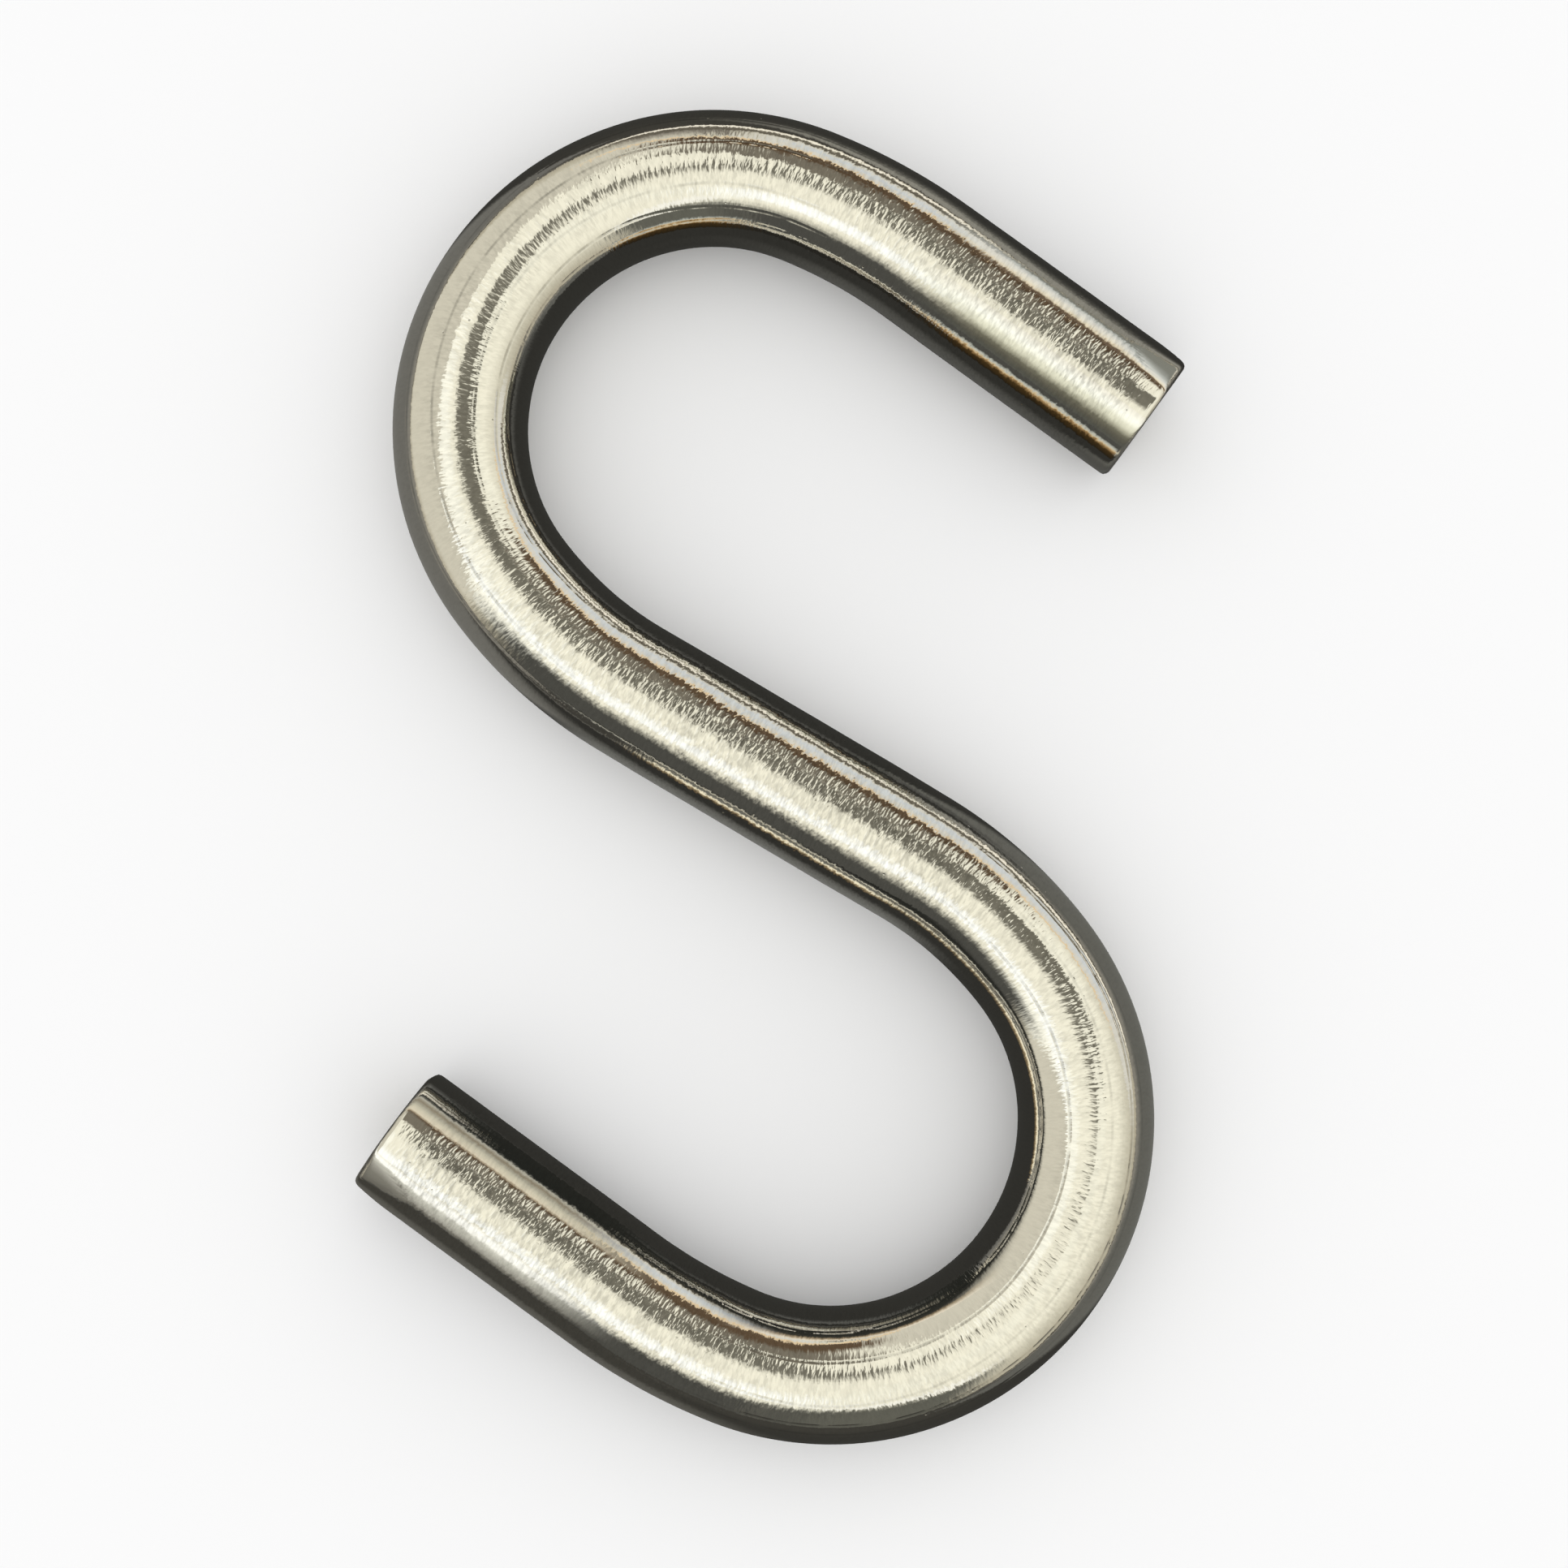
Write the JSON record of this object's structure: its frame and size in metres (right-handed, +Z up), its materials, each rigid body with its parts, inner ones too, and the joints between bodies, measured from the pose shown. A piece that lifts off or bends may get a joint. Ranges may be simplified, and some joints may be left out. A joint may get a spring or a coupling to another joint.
{
  "type": "s hook",
  "caption": "Round stainless bar bent into an S, with a round seat at each end on one load line and straight legs cropped square. Lies flat.",
  "frame": {"origin": "middle of the bar, on the plane that the hook lies on", "axes": "+Z up through the bar's thickness, +Y along the load line through the centres of both seats, +X towards the tip of the upper leg"},
  "size_m": [0.041, 0.0582, 0.006],
  "materials": {
    "stainless_steel": "bright drawn bar with fine polishing marks across it, worn smooth at the cropped ends"
  },
  "bodies": {
    "root": {"hook": "stainless_steel"}
  },
  "joints": []
}
